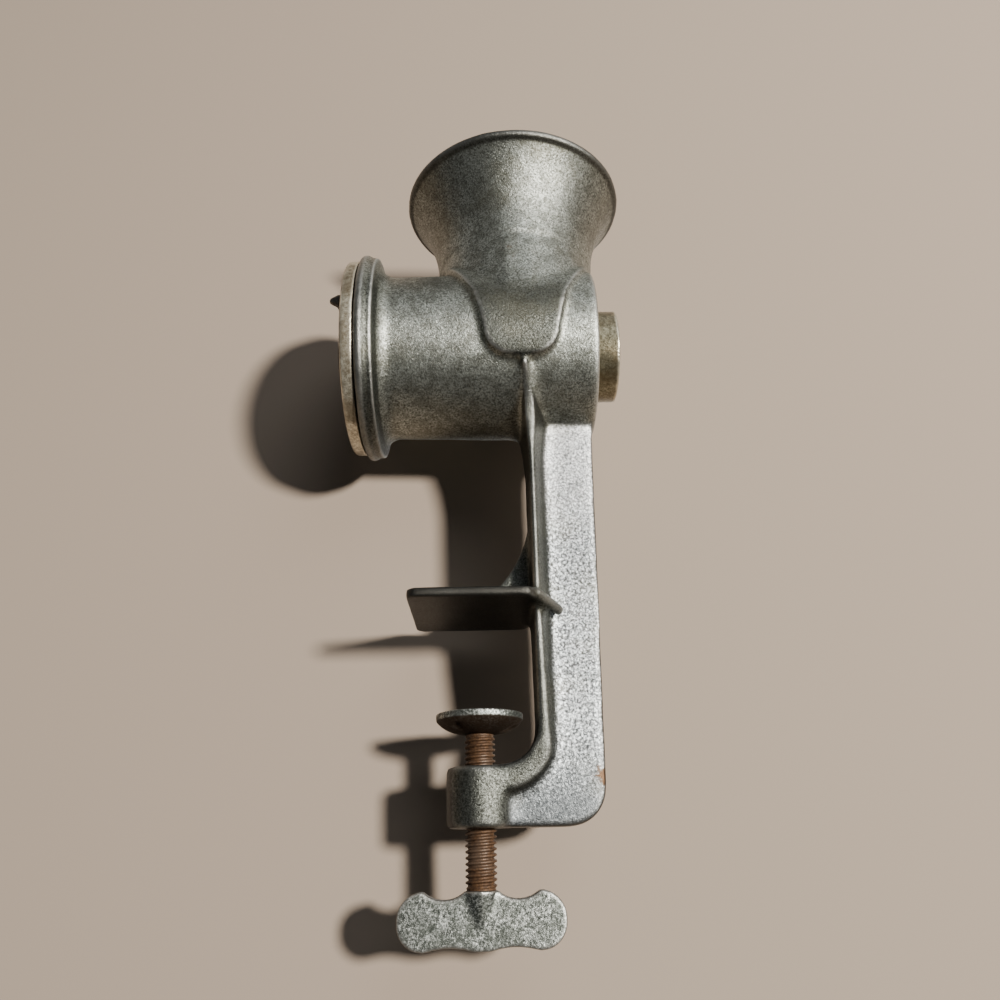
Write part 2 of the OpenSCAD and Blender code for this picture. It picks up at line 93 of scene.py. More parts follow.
def shade_smooth(mesh):
    mesh.polygons.foreach_set("use_smooth", [True] * len(mesh.polygons))
    mesh.update()


def read_rows(items, key, size, kind=float):
    """One value of each item of a mesh, as the rows of an array."""
    values = np.empty(len(items) * size, dtype=kind)
    items.foreach_get(key, values)
    return values.reshape(-1, size)


def read_points(mesh):
    return read_rows(mesh.vertices, "co", 3)


def read_normals(mesh):
    return read_rows(mesh.vertex_normals, "vector", 3)


def read_edges(mesh):
    return read_rows(mesh.edges, "vertices", 2, np.int64)


def write_points(mesh, points):
    mesh.vertices.foreach_set("co", points.ravel())
    mesh.update()


def neighbour_mean(values, edges, count):
    """Mean of each point's neighbours, for one value per point."""
    total = np.bincount(edges[:, 0], values[edges[:, 1]], count)
    total += np.bincount(edges[:, 1], values[edges[:, 0]], count)
    degree = np.bincount(edges.ravel(), minlength=count)
    return total / np.maximum(degree, 1)


def neighbour_pull(points, edges):
    """Vector from each point to the mean of its neighbours."""
    means = [neighbour_mean(points[:, axis], edges, len(points)) for axis in range(3)]
    return np.stack(means, axis=1) - points


def outward_pull(points, edges, normals):
    """How far its neighbours' mean stands out over each point: above 0 in a hollow, below on an edge."""
    return np.einsum("ij,ij->i", neighbour_pull(points, edges), normals)


def everywhere(points):
    return np.ones(len(points))


def round_corners(mesh, rounds, share=everywhere):
    """Evens a mesh out, so that sharp corners turn round, as far as share says."""
    points = read_points(mesh)
    edges = read_edges(mesh)
    strength = EASE * share(points)[:, None]
    for _ in range(rounds):
        points += strength * neighbour_pull(points, edges)
    write_points(mesh, points)


def fill_hollow_corners(mesh, rounds, zone):
    """Builds inner corners up to soft fillets, where zone allows it."""
    edges = read_edges(mesh)
    for start in range(0, rounds, FILLET_BATCH):
        points = read_points(mesh)
        normals = read_normals(mesh)
        allowed = zone(points)
        for _ in range(min(FILLET_BATCH, rounds - start)):
            outward = outward_pull(points, edges, normals)
            points += (EASE * np.maximum(outward, 0) * allowed)[:, None] * normals
        write_points(mesh, points)


def store_relief(mesh, face_size, rounds):
    """Keeps how far each point stands out of its surroundings: edges above 0, hollows below."""
    points = read_points(mesh)
    edges = read_edges(mesh)
    relief = -outward_pull(points, edges, read_normals(mesh)) / face_size
    for _ in range(rounds):
        relief = (1 - EASE) * relief + EASE * neighbour_mean(relief, edges, len(points))
    layer = mesh.attributes.new("relief", "FLOAT", "POINT")
    layer.data.foreach_set("value", relief * RELIEF_GAIN)


def barrel_radius(points):
    return np.hypot(points[:, 1], points[:, 2] - BARREL_Z)


def screw_radius(points):
    return np.hypot(points[:, 0], points[:, 1])


def set_barrel_radius(points, chosen, radius):
    """Turns the chosen points true about the barrel's axis."""
    scale = radius / barrel_radius(points[chosen])
    points[chosen, 1] *= scale
    points[chosen, 2] = BARREL_Z + (points[chosen, 2] - BARREL_Z) * scale


def set_screw_radius(points, chosen, radius):
    """Turns the chosen points true about the clamp screw's axis."""
    scale = radius / screw_radius(points[chosen])
    points[chosen, 0] *= scale
    points[chosen, 1] *= scale


def uneven_skin(mesh, depth, wavelength, zone):
    """Sinks the skin in soft dents, as sand leaves it."""
    points = read_points(mesh)
    normals = read_normals(mesh)
    waves = np.array([noise.noise(Vector(point) / wavelength) for point in points])
    sink = depth * (1 + waves) / 2 * zone(points)
    write_points(mesh, points - sink[:, None] * normals)


def soft_copy(node, name, voxel, rounds, fillet_rounds=0, zone=everywhere, share=everywhere):
    """Copy of a CAD solid with the soft corners of a casting."""
    piece = new_piece(name, frame["nodes"][node].data.copy())
    even = piece.modifiers.new("even faces", "REMESH")
    even.mode = "VOXEL"
    even.voxel_size = voxel
    bake_modifiers(piece)
    round_corners(piece.data, rounds, share)
    if fillet_rounds:
        fill_hollow_corners(piece.data, fillet_rounds, zone)
        round_corners(piece.data, SETTLE_ROUNDS, share)
    return piece


def finish_soft_copy(piece, voxel, node, body, material):
    """Gives a soft copy its relief and material, and puts it in its node's place."""
    store_relief(piece.data, voxel, RELIEF_ROUNDS)
    shade_smooth(piece.data)
    piece.data.materials.clear()
    piece.data.materials.append(material)
    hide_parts(node)
    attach(piece, body)


# Casting

CASTING_VOXEL = 0.6 * MM
CASTING_ROUNDS = 6
CASTING_FILLET_ROUNDS = 48
SKIN_DEPTH = 0.2 * MM
SKIN_WAVE = 9 * MM
FLANGE_BACK_X = -27.0 * MM
FLANGE_FOOT_Z = BARREL_Z - 45 * MM
LIP_DEPTH = 7.0 * MM
SADDLE_FOOT_Z = BARREL_Z - 18.0 * MM
SADDLE_FILLET = 0.12
CRISP_SHARE = 0.4
COLUMN_FRONT_X = 13.0 * MM
COLUMN_TOP_Z = 62.0 * MM
COLUMN_FADE = 14.0 * MM
RIB_FADE = 3.0 * MM
SHELF_CLEAR = 6.0 * MM
COLUMN_ROUNDS = 14

# How near a point lies to a bore to be part of it
SKIN_CLEAR = 1.5 * MM
WALL_CATCH = 1.0 * MM
BEARING_CATCH = 0.6 * MM
BORE_INNER_CATCH = 1.2 * MM
BORE_OUTER_CATCH = 0.6 * MM
SCREW_HOLE_CATCH = 1.0 * MM


def in_screw_hole(points, margin):
    """Whether points lie in the hole of the foot's boss, or no further from it than a margin."""
    return (screw_radius(points) < SCREW_HOLE_R + margin) & (points[:, 2] < FOOT_BOSS_Z)


def outside_bores(points):
    """1 where the casting keeps its rough skin, 0 in its bores."""
    in_barrel = barrel_radius(points) < BORE_R + SKIN_CLEAR
    return np.where(in_barrel | in_screw_hole(points, SKIN_CLEAR), 0.0, 1.0)


def on_lip(points):
    """Whether points lie on the hopper's lip."""
    rim_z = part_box("grinder_body")[1][2]
    return points[:, 2] > rim_z - LIP_DEPTH


def fillet_zone(points):
    """How far inner corners are built up: fully on column and foot, a little on the saddle, else not."""
    flange = (points[:, 0] < FLANGE_BACK_X) & (points[:, 2] > FLANGE_FOOT_Z)
    share = np.where(points[:, 2] > SADDLE_FOOT_Z, SADDLE_FILLET, 1.0)
    return np.where(flange | on_lip(points), 0.0, share) * outside_bores(points)


def crisp_share(points):
    """How far corners are rounded: less on the flange's bead and the hopper's lip."""
    flange = points[:, 0] < FLANGE_BACK_X
    return np.where(flange | on_lip(points), CRISP_SHARE, 1.0)


def fade_in(distance, run):
    """0 up to a border, rising to 1 a run past it."""
    return np.clip(distance / run, 0, 1)


def column_zone(points):
    """How far column and foot are rounded once more, clear of the shelf, its tails and the rib."""
    along, height = points[:, 0], points[:, 2]
    behind_rib = fade_in(along - COLUMN_FRONT_X, RIB_FADE)
    under_barrel = fade_in(COLUMN_TOP_Z - height, COLUMN_FADE)
    upper = behind_rib * under_barrel * fade_in(height - SHELF_CLEAR, COLUMN_FADE)
    lower = fade_in(-height - SHELF_CLEAR, COLUMN_FADE)
    return np.maximum(upper, lower) * outside_bores(points)


def true_casting_bores(mesh):
    """Turns bearing, barrel bore and screw hole true again after the softening."""
    points = read_points(mesh)
    turned = barrel_radius(points)
    behind = points[:, 0] > REAR_FACE_X - REAR_WALL + WALL_CATCH
    bearing = behind & (np.abs(turned - BEARING_R) < BEARING_CATCH)
    set_barrel_radius(points, bearing, BEARING_R + SHOW_GAP)
    bore = ~behind & (turned > BORE_R - BORE_INNER_CATCH) & (turned < BORE_R + BORE_OUTER_CATCH)
    set_barrel_radius(points, bore, BORE_R)
    set_screw_radius(points, in_screw_hole(points, SCREW_HOLE_CATCH), SCREW_HOLE_R + SCREW_HOLE_GAP)
    write_points(mesh, points)


def make_casting(material):
    piece = soft_copy("grinder_body", "casting", CASTING_VOXEL, CASTING_ROUNDS, CASTING_FILLET_ROUNDS,
                      fillet_zone, crisp_share)
    round_corners(piece.data, COLUMN_ROUNDS, column_zone)
    uneven_skin(piece.data, SKIN_DEPTH, SKIN_WAVE, outside_bores)
    true_casting_bores(piece.data)
    finish_soft_copy(piece, CASTING_VOXEL, "grinder_body", "casting", material)


# Feed screw, cutter, thumb nut and wing

WORM_VOXEL = 0.55 * MM
CUTTER_VOXEL = 0.45 * MM
NUT_VOXEL = 0.35 * MM
WING_VOXEL = 0.4 * MM
JOURNAL_CATCH = 0.35 * MM


def make_worm(material):
    piece = soft_copy("feed_screw", "worm", WORM_VOXEL, rounds=5)
    points = read_points(piece.data)
    in_wall = points[:, 0] > REAR_FACE_X - REAR_WALL
    journal = in_wall & (barrel_radius(points) > JOURNAL_R - JOURNAL_CATCH)
    set_barrel_radius(points, journal, JOURNAL_R - JOURNAL_GAP)
    write_points(piece.data, points)
    finish_soft_copy(piece, WORM_VOXEL, "feed_screw", "feed", material)


def make_cutter(material):
    piece = soft_copy("cutter", "cutter_disc", CUTTER_VOXEL, rounds=4)
    finish_soft_copy(piece, CUTTER_VOXEL, "cutter", "feed", material)


def make_thumb_nut(material):
    piece = soft_copy("cutter_nut", "thumb_nut", NUT_VOXEL, rounds=6, fillet_rounds=10)
    finish_soft_copy(piece, NUT_VOXEL, "cutter_nut", "feed", material)


def make_wing(material):
    piece = soft_copy("clamp_wing", "wing", WING_VOXEL, rounds=5, fillet_rounds=6)
    finish_soft_copy(piece, WING_VOXEL, "clamp_wing", "screw", material)


# Clamp screw, and the stud that the thumb nut runs on

SCREW_R = 4.5 * MM
SCREW_PITCH = 1.5875 * MM
SCREW_SEGMENTS = 40
STUD_PITCH = 1.41 * MM
ROWS_PER_TURN = 10
RUN_OUT_DROP = 0.35 * MM
THREAD_START = 0.01 * MM
SHOULDER_GAP = 0.3 * MM
TANG_R = 1.9 * MM
TIP_R = 3.0 * MM
HEAD_R = 4.6 * MM
HEAD_T = 1.3 * MM
HEAD_STEPS = 8

# Shares: a thread's depth of its pitch, its root and flank of half a pitch,
# the straight side of the head of its thickness, and the flat on it of its radius
THREAD_DEPTH = 0.5
ROOT_SHARE = 0.18
FLANK_SHARE = 0.62
HEAD_SIDE = 0.4
HEAD_FLAT = 0.25


def new_mesh_piece(name, verts, faces):
    """A smooth piece from points and faces."""
    mesh = bpy.data.meshes.new(name)
    mesh.from_pydata(verts, [], faces)
    mesh.validate()
    shade_smooth(mesh)
    return new_piece(name, mesh)


def lathe(name, rows, segments):
    """Closed mesh of rings: each row gives a height and a function from angle to radius."""
    angles = [math.tau * step / segments for step in range(segments)]
    verts = []
    for height, radius in rows:
        verts += [(radius(a) * math.cos(a), radius(a) * math.sin(a), height) for a in angles]
    last = (len(rows) - 1) * segments
    faces = []
    for low in range(0, last, segments):
        high = low + segments
        for step in range(segments):
            after = (step + 1) % segments
            faces.append((low + step, low + after, high + after, high + step))
    faces.append(tuple(reversed(range(segments))))
    faces.append(tuple(range(last, last + segments)))
    return new_mesh_piece(name, verts, faces)


def plain_row(height, radius):
    """Row of a lathe for a round ring."""
    return height, lambda angle: radius


def smooth_step(share):
    """Share from 0 to 1, eased at both ends."""
    return share * share * (3 - 2 * share)


def thread_radius(height, crest, depth, pitch):
    """Radius of a worn right-hand thread, as a function of the angle."""
    def radius(angle):
        phase = (height / pitch - angle / math.tau) % 1
        rise = abs(2 * phase - 1)
        flank = min(max((rise - ROOT_SHARE) / FLANK_SHARE, 0), 1)
        return crest - depth + depth * smooth_step(flank)
    return radius


def thread_rows(low, high, crest, pitch):
    """Rows of a thread whose ends run out in a short taper."""
    count = round((high - low) / pitch * ROWS_PER_TURN)
    rows = []
    for step in range(count + 1):
        height = low + (high - low) * step / count
        from_end = min(height - low, high - height)
        run_out = min(from_end / pitch, 1)
        tapered = crest - RUN_OUT_DROP * (1 - run_out)
        depth = THREAD_DEPTH * pitch * run_out
        rows.append((height, thread_radius(height, tapered, depth, pitch)))
    return rows


def make_threaded_rod(material):
    """Clamp screw: a tang in the wing, the thread, and a tip with a rounded head in the pad."""
    low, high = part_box("clamp_screw")
    wing_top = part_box("clamp_wing")[1][2]
    pad_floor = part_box("clamp_pad")[0][2]
    head_low = high[2] - HEAD_T
    shoulder = pad_floor - SHOULDER_GAP
    rows = [plain_row(low[2], TANG_R), plain_row(wing_top, TANG_R)]
    rows += thread_rows(wing_top + THREAD_START, shoulder, SCREW_R, SCREW_PITCH)
    rows += [plain_row(shoulder, TIP_R), plain_row(head_low, TIP_R), plain_row(head_low, HEAD_R)]
    for step in range(HEAD_STEPS + 1):
        lift = step / HEAD_STEPS * math.pi / 2
        height = HEAD_SIDE + (1 - HEAD_SIDE) * math.sin(lift)
        width = HEAD_FLAT + (1 - HEAD_FLAT) * math.cos(lift)
        rows.append(plain_row(head_low + HEAD_T * height, HEAD_R * width))
    piece = lathe("threaded_rod", rows, SCREW_SEGMENTS)
    piece.data.materials.append(material)
    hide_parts("clamp_screw")
    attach(piece, "screw")


def make_stud(material):
    """Threaded stud, turned to lie along the barrel."""
    low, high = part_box("cutter_stud")
    length = high[0] - low[0]
    radius = (high[1] - low[1]) / 2
    rows = thread_rows(0, length, radius, STUD_PITCH)
    piece = lathe("stud", rows, SCREW_SEGMENTS)
    along_barrel = Matrix.Translation((low[0], 0, BARREL_Z)) @ Matrix.Rotation(math.pi / 2, 4, "Y")
    piece.data.transform(along_barrel)
    piece.data.materials.append(material)
    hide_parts("cutter_stud")
    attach(piece, "feed")


# Clamp pad

PAD_R = 13.1 * MM
PAD_T = 1.8 * MM
PAD_FOOT_R = 5.0 * MM
PAD_RIM = 1.3 * MM
PAD_CORNER = 0.5 * MM
PAD_CORNER_STEPS = 5
PAD_FACE = 0.5 * MM
PAD_SEGMENTS = 140
PAD_RELIEF_ROUNDS = 2
BELLY_R = 10.6 * MM
BELLY_H = 0.6 * MM
BOWL_STEPS = 12
DIMPLES = 3
DIMPLE_RING_R = 9.3 * MM
DIMPLE_TURN = math.radians(-125)
DIMPLE_H = 1.2 * MM
DIMPLE_SPREAD = 2.0 * MM
NO_LENGTH = 0.001 * MM


def bend(start, pull, end, steps):
    """Points on a curve from start to end that is drawn towards pull."""
    shares = [step / steps for step in range(steps + 1)]
    return [start * (1 - t) ** 2 + pull * 2 * t * (1 - t) + end * t * t for t in shares]


def soften(outline, reach, steps):
    """Rounds each corner of a closed outline of (radius, height) points."""
    softened = []
    for index, corner in enumerate(outline):
        to_before = outline[index - 1] - corner
        to_after = outline[(index + 1) % len(outline)] - corner
        start = corner + to_before.normalized() * min(reach, to_before.length / 2)
        end = corner + to_after.normalized() * min(reach, to_after.length / 2)
        softened += bend(start, corner, end, steps)
    return softened


def subdivide_outline(outline, longest):
    """Puts points along the long sides, so that dimples have something to bend, and drops doubled ones."""
    dense = []
    for index, here in enumerate(outline):
        after = outline[(index + 1) % len(outline)]
        cuts = math.ceil(((after - here).length - NO_LENGTH) / longest)
        dense += [here.lerp(after, cut / cuts) for cut in range(cuts)]
    return dense


def revolve(name, outline, segments):
    """Ring-shaped mesh: a closed outline of (radius, height) turned about Z."""
    verts = []
    for step in range(segments):
        angle = math.tau * step / segments
        verts += [(p[0] * math.cos(angle), p[0] * math.sin(angle), p[1]) for p in outline]
    count = len(outline)
    faces = []
    for step in range(segments):
        here = step * count
        there = (step + 1) % segments * count
        for index in range(count):
            after = (index + 1) % count
            faces.append((here + index, there + index, there + after, here + after))
    return new_mesh_piece(name, verts, faces)


def press_dimples(mesh):
    """Lifts the dimples that are pressed into the pad from below."""
    points = read_points(mesh)
    for index in range(DIMPLES):
        angle = DIMPLE_TURN + index * math.tau / DIMPLES
        away_x = points[:, 0] - DIMPLE_RING_R * math.cos(angle)
        away_y = points[:, 1] - DIMPLE_RING_R * math.sin(angle)
        points[:, 2] += DIMPLE_H * np.exp(-(np.hypot(away_x, away_y) / DIMPLE_SPREAD) ** 2)
    write_points(mesh, points)


def make_pad(material):
    """Dished pad with a hole for the screw's tip, and its dimples."""
    low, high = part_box("clamp_pad")
    floor = low[2]
    top = high[2]
    seat = floor + PAD_T
    hole_r = TIP_R + SHOW_GAP
    belly = Vector((BELLY_R, floor + BELLY_H))
    outside = bend(Vector((PAD_FOOT_R, floor)), belly, Vector((PAD_R, top - PAD_T)), BOWL_STEPS)
    inner_belly = belly + Vector((-PAD_T / 2, PAD_T))
    seat_edge = Vector((HEAD_R + HEAD_GAP, seat))
    inside = bend(Vector((PAD_R - PAD_RIM, top)), inner_belly, seat_edge, BOWL_STEPS)
    outline = [Vector((hole_r, floor)), *outside, Vector((PAD_R, top)), *inside, Vector((hole_r, seat))]
    softened = soften(outline, PAD_CORNER, PAD_CORNER_STEPS)
    piece = revolve("clamp_disc", subdivide_outline(softened, PAD_FACE), PAD_SEGMENTS)
    press_dimples(piece.data)
    store_relief(piece.data, PAD_FACE, PAD_RELIEF_ROUNDS)
    piece.data.materials.append(material)
    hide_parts("clamp_pad")
    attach(piece, "pad")


# Shader nodes

OPAQUE = 1.0
SQUARE_ROOT = 0.5


def place(tree, kind, inputs=None, **settings):
    """Adds a shader node with its settings and input values."""
    node = tree.nodes.new(kind)
    for key, value in settings.items():
        setattr(node, key, value)
    for key, value in (inputs or {}).items():
        node.inputs[key].default_value = value
    return node


def wire(tree, source, target):
    tree.links.new(source, target)


def feed(tree, source, target):
    """Links a socket to another one, or sets it to a plain value."""
    if isinstance(source, bpy.types.NodeSocket):
        wire(tree, source, target)
    else:
        target.default_value = source


def math_node(tree, operation, first, second):
    """Math node: each side is a socket or a number."""
    node = place(tree, "ShaderNodeMath", operation=operation)
    feed(tree, first, node.inputs[0])
    feed(tree, second, node.inputs[1])
    return node.outputs[0]


def scaled(tree, value, share):
    return math_node(tree, "MULTIPLY", value, share)


def size_of(tree, value):
    """A value without its sign."""
    return math_node(tree, "ABSOLUTE", value, 0)


def varied(tree, mask, plain, change):
    """A plain value where a mask is 0, with a change added as the mask goes to 1."""
    return math_node(tree, "ADD", plain, scaled(tree, mask, change))


def strongest(tree, first, *others):
    """Greatest of several masks."""
    for mask in others:
        first = math_node(tree, "MAXIMUM", first, mask)
    return first


def rise_between(tree, value, low, high):
    """0 below low, 1 above high, smooth between; low and high are sockets or numbers."""
    node = place(tree, "ShaderNodeMapRange", interpolation_type="SMOOTHSTEP")
    wire(tree, value, node.inputs["Value"])
    feed(tree, low, node.inputs["From Min"])
    feed(tree, high, node.inputs["From Max"])
    return node.outputs["Result"]


def fall_between(tree, value, low, high):
    """1 below low, 0 above high, smooth between; low and high are numbers."""
    return rise_between(tree, scaled(tree, value, -1.0), -high, -low)


def frame_coords(tree):
    """Each point's place in the frame."""
    return place(tree, "ShaderNodeTexCoord").outputs["Object"]


def split_axes(tree, vector):
    """X, Y and Z of a vector."""
    split = place(tree, "ShaderNodeSeparateXYZ")
    wire(tree, vector, split.inputs["Vector"])
    return split.outputs["X"], split.outputs["Y"], split.outputs["Z"]


def facing_axes(tree):
    """How far each face looks along the frame's X, Y and Z, from -1 to 1."""
    return split_axes(tree, place(tree, "ShaderNodeTexCoord").outputs["Normal"])


def noise_value(tree, coords, scale, detail, roughness):
    node = place(tree, "ShaderNodeTexNoise", {"Detail": detail, "Roughness": roughness})
    wire(tree, coords, node.inputs["Vector"])
    feed(tree, scale, node.inputs["Scale"])
    return node.outputs["Fac"]


def mix_colour(tree, factor, first, second):
    """Colour mix: each side is a socket or a colour."""
    node = place(tree, "ShaderNodeMix", data_type="RGBA")
    wire(tree, factor, node.inputs["Factor"])
    colour_inputs = [socket for socket in node.inputs if socket.type == "RGBA"]
    for socket, side in zip(colour_inputs, (first, second)):
        feed(tree, (*side, OPAQUE) if isinstance(side, tuple) else side, socket)
    return [socket for socket in node.outputs if socket.type == "RGBA"][0]


def coat(tree, below, above, mask, share):
    """Lays one colour over another where a mask is, as thick as share says."""
    return mix_colour(tree, scaled(tree, mask, share), below, above)


# Effects that several finishes use

FINE_SCALE = 2.6
COARSE_SHARE = 0.6
FINE_SHARE = 0.4
PIT_DEPTH = 0.12
GRAIN_RANGE = (0.28, 0.62)
FINE_HEIGHT = 0.5
BREAK_UP_SCALE = 260.0
BREAK_UP = 0.5
NOISE_MIDDLE = 0.5
WORN_FROM = 0.12
DIRT_FROM = 0.1


def new_group(name, inputs, outputs):
    """Shader node group with value inputs and value outputs."""
    group = bpy.data.node_groups.new(name, "ShaderNodeTree")
    for in_out, labels in (("INPUT", inputs), ("OUTPUT", outputs)):
        for label in labels:
            group.interface.new_socket(label, in_out=in_out, socket_type="NodeSocketFloat")
    return group, group.nodes.new("NodeGroupInput").outputs, group.nodes.new("NodeGroupOutput").inputs


def grain_group():
    """Mottled grain of cast or plated metal, with about Scale grains to the metre."""
    group, given, result = new_group("metal_grain", ["Scale"], ["Grain", "Height"])
    coords = frame_coords(group)
    coarse = noise_value(group, coords, given["Scale"], detail=4.0, roughness=0.7)
    fine_scale = scaled(group, given["Scale"], FINE_SCALE)
    fine = noise_value(group, coords, fine_scale, detail=2.0, roughness=0.6)
    cells = place(group, "ShaderNodeTexVoronoi")
    wire(group, coords, cells.inputs["Vector"])
    wire(group, given["Scale"], cells.inputs["Scale"])
    mixed = math_node(group, "ADD", scaled(group, coarse, COARSE_SHARE), scaled(group, fine, FINE_SHARE))
    pitted = math_node(group, "SUBTRACT", mixed, scaled(group, cells.outputs["Distance"], PIT_DEPTH))
    wire(group, rise_between(group, pitted, *GRAIN_RANGE), result["Grain"])
    wire(group, math_node(group, "ADD", coarse, scaled(group, fine, FINE_HEIGHT)), result["Height"])
    return group


def wear_group():
    """Bright worn edges and dirty hollows, from the relief kept on the mesh."""
    group, given, result = new_group("edge_wear", ["Edge", "Hollow"], ["Worn", "Dirt"])
    relief = place(group, "ShaderNodeAttribute", attribute_name="relief").outputs["Fac"]
    patchy = noise_value(group, frame_coords(group), BREAK_UP_SCALE, detail=3.0, roughness=0.6)
    centred = math_node(group, "SUBTRACT", patchy, NOISE_MIDDLE)
    ragged = math_node(group, "ADD", relief, scaled(group, centred, BREAK_UP))
    wire(group, rise_between(group, ragged, WORN_FROM, given["Edge"]), result["Worn"])
    sunk = scaled(group, ragged, -1.0)
    wire(group, rise_between(group, sunk, DIRT_FROM, given["Hollow"]), result["Dirt"])
    return group


def patch_group():
    """Cloudy patches of stain or rust: a higher Cover number leaves fewer of them."""
    group, given, result = new_group("stain_patches", ["Scale", "Cover", "Softness"], ["Mask"])
    cloud = noise_value(group, frame_coords(group), given["Scale"], detail=6.0, roughness=0.62)
    full = math_node(group, "ADD", given["Cover"], given["Softness"])
    wire(group, rise_between(group, cloud, given["Cover"], full), result["Mask"])
    return group


GRAIN = grain_group()
WEAR = wear_group()
PATCHES = patch_group()


def use_group(tree, group, **inputs):
    """Places an effect in a finish with its own values, and gives its outputs."""
    return place(tree, "ShaderNodeGroup", inputs, node_tree=group).outputs


# Finish of the casting: the two places between which each part of it fades

WEB_TOP = (60 * MM, 68 * MM)
WEB_HALF = (5.4 * MM, 7.0 * MM)
WEB_FRONT = (18 * MM, 21 * MM)
WEB_FOOT = (-36 * MM, -30 * MM)
WEB_BRIGHTER = (15 * MM, 60 * MM)
HEEL = (-60 * MM, -36 * MM)
COLUMN_TOP = (58 * MM, 66 * MM)
HOPPER_NECK = (126 * MM, 142 * MM)
TONGUE_PROUD = (30.3 * MM, 31.1 * MM)
TONGUE_TOP = (100 * MM, 112 * MM)
SHELF_HALF = (4.5 * MM, 7 * MM)
SHELF_BACK = (15 * MM, 19 * MM)
LIP_BELOW_RIM = (4.2 * MM, 3.4 * MM)
BEAD_BEHIND_FRONT = (1.4 * MM, 2.2 * MM)
SIDE_FACING = (0.5, 0.85)
CHIP_AT = Vector((36.0, -4.4, -49.5)) * MM
CHIP_SCALE = 500.0
CHIP_REACH = 6 * MM
CHIP_EDGE = (-0.3 * MM, 1.2 * MM)

# How strong the painted shade is on column, tongue, shelf, lip, bead and sides, how much darker the upper
# hopper is, and how thick rust lies on them
COLUMN_SHADE = 0.85
TONGUE_SHADE = 0.9
HOPPER_DARKENING = 0.35
LIP_SHADE = 0.75
BEAD_SHADE = 0.3
SIDE_SHADE = 0.9
PATCH_RUST = 0.6

# Its colours: dark pits and light faces of the grain, and what lies over them
TIN_PITS = (0.034, 0.036, 0.028)
TIN_FACES = (0.57, 0.595, 0.535)
TIN_CLOUDS = (0.085, 0.085, 0.067)
# painted shade: dark speckled colour laid on column and tongue as if they lay in shade, also used to
# darken the upper hopper
DARK_PITS = (0.014, 0.014, 0.011)
DARK_FACES = (0.115, 0.12, 0.104)
WEB_PITS = (0.03, 0.032, 0.032)
WEB_FACES = (0.91, 0.96, 0.97)
TOP_PITS = (0.08, 0.084, 0.084)
TOP_FACES = (1.0, 1.0, 0.98)
HEEL_GREY = (0.08, 0.087, 0.09)
TIN_STAIN = (0.16, 0.145, 0.09)
TIN_DIRT = (0.12, 0.11, 0.065)
TIN_RUBBED = (0.64, 0.64, 0.60)
TIN_RUST = (0.085, 0.05, 0.028)
# painted shade: near-black colour laid on the shelf, the hopper's lip, the bead's front and the web's
# narrow sides
TIN_SHADE = (0.032, 0.03, 0.026)
SPOT_POWER = 2.0


def new_finish(name):
    """Material with its node tree and its shader."""
    material = bpy.data.materials.new(name)
    material.use_nodes = True
    tree = material.node_tree
    return material, tree, tree.nodes["Principled BSDF"]


def dress(tree, shader, colour, rough, metallic, height, depth):
    """Gives a shader its colour, roughness, metal and bump."""
    wire(tree, colour, shader.inputs["Base Color"])
    wire(tree, rough, shader.inputs["Roughness"])
    shader.inputs["Metallic"].default_value = metallic
    bump = place(tree, "ShaderNodeBump", {"Distance": depth})
    wire(tree, height, bump.inputs["Height"])
    wire(tree, bump.outputs["Normal"], shader.inputs["Normal"])


def on_sides(tree):
    """1 on faces that lie along the frame's Y, 0 on faces that look along it."""
    _, across, _ = facing_axes(tree)
    return fall_between(tree, size_of(tree, across), *SIDE_FACING)


def web_mask(tree, along, across, height):
    """1 on the column's web and the foot's heel below the barrel, 0 on shelf, rib, flange and boss."""
    below_barrel = fall_between(tree, height, *WEB_TOP)
    thin = fall_between(tree, size_of(tree, across), *WEB_HALF)
    behind = rise_between(tree, along, *WEB_FRONT)
    in_foot = fall_between(tree, height, *WEB_FOOT)
    return scaled(tree, scaled(tree, below_barrel, thin), strongest(tree, behind, in_foot))


def painted_shade_mask(tree, along, height, web):
    """1 where shade is painted: on the shelf, less on the web's narrow sides, the hopper's lip and the
    front of the bead.
    """
    near_shelf = fall_between(tree, size_of(tree, height), *SHELF_HALF)
    shelf = scaled(tree, near_shelf, fall_between(tree, along, *SHELF_BACK))
    low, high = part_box("grinder_body")
    lip = rise_between(tree, height, *[high[2] - drop for drop in LIP_BELOW_RIM])
    bead = fall_between(tree, along, *[low[0] + depth for depth in BEAD_BEHIND_FRONT])
    sides = scaled(tree, web, on_sides(tree))
    thinner = ((lip, LIP_SHADE), (bead, BEAD_SHADE), (sides, SIDE_SHADE))
    return strongest(tree, shelf, *[scaled(tree, mask, share) for mask, share in thinner])


def tongue_mask(tree, across, height):
    """1 on the saddle's tongue that stands proud of the barrel."""
    rise = math_node(tree, "SUBTRACT", height, BARREL_Z)
    squares = math_node(tree, "ADD", scaled(tree, across, across), scaled(tree, rise, rise))
    from_axis = math_node(tree, "POWER", squares, SQUARE_ROOT)
    proud = rise_between(tree, from_axis, *TONGUE_PROUD)
    return scaled(tree, proud, fall_between(tree, height, *TONGUE_TOP))


def chip_mask(tree):
    """1 on one ragged chip at the heel's outer edge."""
    coords = frame_coords(tree)
    away = place(tree, "ShaderNodeVectorMath", operation="DISTANCE")
    wire(tree, coords, away.inputs[0])
    feed(tree, CHIP_AT, away.inputs[1])
    ragged = scaled(tree, noise_value(tree, coords, CHIP_SCALE, detail=5.0, roughness=0.7), CHIP_REACH)
    return rise_between(tree, math_node(tree, "SUBTRACT", ragged, away.outputs["Value"]), *CHIP_EDGE)


